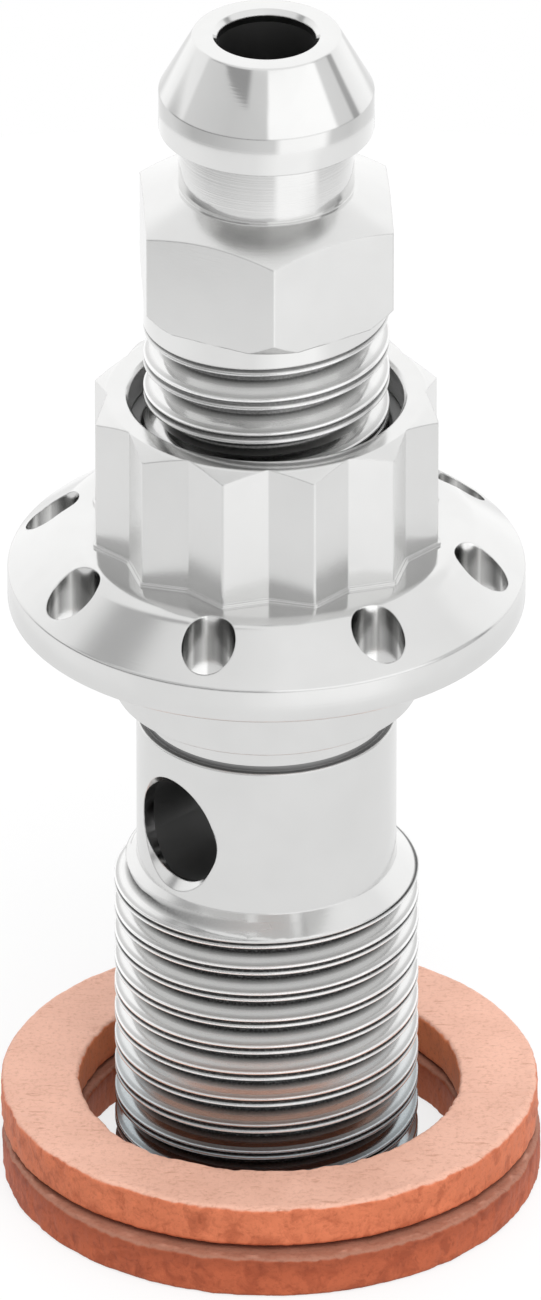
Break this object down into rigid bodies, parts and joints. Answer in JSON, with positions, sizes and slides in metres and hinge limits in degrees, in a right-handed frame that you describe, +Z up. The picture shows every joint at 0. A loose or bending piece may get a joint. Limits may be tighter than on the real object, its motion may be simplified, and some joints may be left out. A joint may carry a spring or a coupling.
{
  "type": "banjo bolt",
  "caption": "Hollow banjo bolt with a flanged twelve-point head, a bleed nipple screwed into the head and loose copper sealing washers round its threaded end.",
  "frame": {"origin": "middle of the threaded end face that the bolt stands on", "axes": "+Z up the bolt's axis towards the bleed nipple's mouth, -Y to the front as pictured, +X to the right"},
  "size_m": [0.0178, 0.0182, 0.0419],
  "materials": {
    "bolt_steel": "bright turned and polished steel",
    "nipple_steel": "bright turned steel",
    "washer_copper": "soft annealed copper, slightly dulled"
  },
  "bodies": {
    "bolt": {"banjo_bolt": "bolt_steel", "lower_copper_washer": "washer_copper", "upper_copper_washer": "washer_copper"},
    "nipple": {"bleed_nipple": "nipple_steel"}
  },
  "joints": [
    {"name": "nipple_turn", "type": "hinge", "parent": "bolt", "child": "nipple", "pos_m": [0, 0, 0.02], "axis": [0, 0, 1], "range_deg": [0, 270]}
  ]
}
